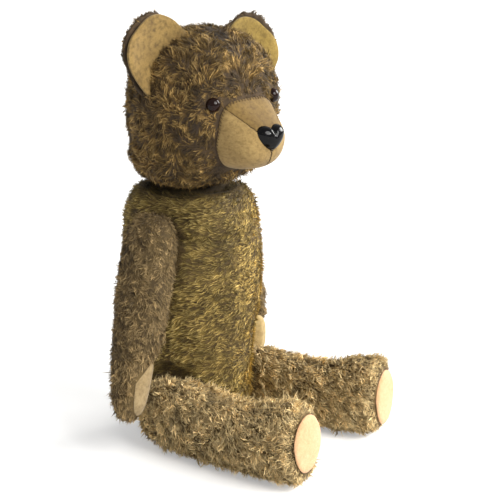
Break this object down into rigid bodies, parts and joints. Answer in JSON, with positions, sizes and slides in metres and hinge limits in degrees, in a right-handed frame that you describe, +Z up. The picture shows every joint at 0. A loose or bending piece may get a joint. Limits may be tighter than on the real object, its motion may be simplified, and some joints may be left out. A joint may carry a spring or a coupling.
{
  "type": "jointed teddy bear",
  "caption": "Seated plush bear with a turned head, hanging arms and outstretched legs, felt muzzle, ears and pads, worn thin pile.",
  "frame": {"origin": "middle of the flat seat of the torso, on the floor the bear sits on", "axes": "+Z up; the body faces -Y; the bear's right side is -X"},
  "size_m": [0.1934, 0.1949, 0.3343],
  "materials": {
    "torso_plush": "matte",
    "head_plush": "matte",
    "arm_plush": "matte",
    "leg_plush": "matte",
    "tan_felt": "matte",
    "pad_felt": "matte",
    "wood_wool": "matte",
    "hardboard": "matte",
    "steel": "satin",
    "nose_plastic": "gloss",
    "eye_plastic": "gloss"
  },
  "bodies": {
    "arm_left": {"arm_cover_left": "arm_plush", "arm_filling_left": "wood_wool", "paw_pad_left": "pad_felt", "shoulder_left_disc_arm": "hardboard", "shoulder_left_pin": "steel", "shoulder_left_washer_arm": "steel"},
    "arm_right": {"arm_cover_right": "arm_plush", "arm_filling_right": "wood_wool", "paw_pad_right": "pad_felt", "shoulder_right_disc_arm": "hardboard", "shoulder_right_pin": "steel", "shoulder_right_washer_arm": "steel"},
    "head": {"ear_back_left": "head_plush", "ear_back_right": "head_plush", "ear_lining_left": "tan_felt", "ear_lining_right": "tan_felt", "eye_left": "eye_plastic", "eye_right": "eye_plastic", "eye_washer_left": "steel", "eye_washer_right": "steel", "head_cover": "head_plush", "head_filling": "wood_wool", "muzzle_bridge": "tan_felt", "muzzle_side_left": "tan_felt", "muzzle_side_right": "tan_felt", "neck_disc_head": "hardboard", "neck_pin": "steel", "neck_washer_head": "steel", "nose": "nose_plastic", "nose_washer": "steel"},
    "leg_left": {"hip_left_disc_leg": "hardboard", "hip_left_pin": "steel", "hip_left_washer_leg": "steel", "leg_cover_left": "leg_plush", "leg_filling_left": "wood_wool", "sole_pad_left": "pad_felt"},
    "torso": {"hip_left_disc_torso": "hardboard", "hip_left_washer_torso": "steel", "hip_right_disc_torso": "hardboard", "hip_right_washer_torso": "steel", "neck_disc_torso": "hardboard", "neck_washer_torso": "steel", "shoulder_left_disc_torso": "hardboard", "shoulder_left_washer_torso": "steel", "shoulder_right_disc_torso": "hardboard", "shoulder_right_washer_torso": "steel", "torso_cover": "torso_plush", "torso_filling": "wood_wool"},
    "leg_right": {"hip_right_disc_leg": "hardboard", "hip_right_pin": "steel", "hip_right_washer_leg": "steel", "leg_cover_right": "leg_plush", "leg_filling_right": "wood_wool", "sole_pad_right": "pad_felt"}
  },
  "joints": [
    {"name": "neck_swivel", "type": "hinge", "parent": "torso", "child": "head", "pos_m": [0, 0, 0.198], "axis": [0, 0, 1], "continuous": true},
    {"name": "right_shoulder", "type": "hinge", "parent": "torso", "child": "arm_right", "pos_m": [-0.043, 0, 0.159], "axis": [-0.9681, 0, 0.2504], "range_deg": [-90, 110]},
    {"name": "left_shoulder", "type": "hinge", "parent": "torso", "child": "arm_left", "pos_m": [0.043, 0, 0.159], "axis": [-0.9681, 0, -0.2504], "range_deg": [-90, 110]},
    {"name": "right_hip", "type": "hinge", "parent": "torso", "child": "leg_right", "pos_m": [-0.035, -0.011, 0.029], "axis": [0.9976, -0.0698, 0], "range_deg": [-20, 100]},
    {"name": "left_hip", "type": "hinge", "parent": "torso", "child": "leg_left", "pos_m": [0.035, -0.009, 0.029], "axis": [1, 0.0087, 0], "range_deg": [-20, 100]}
  ]
}
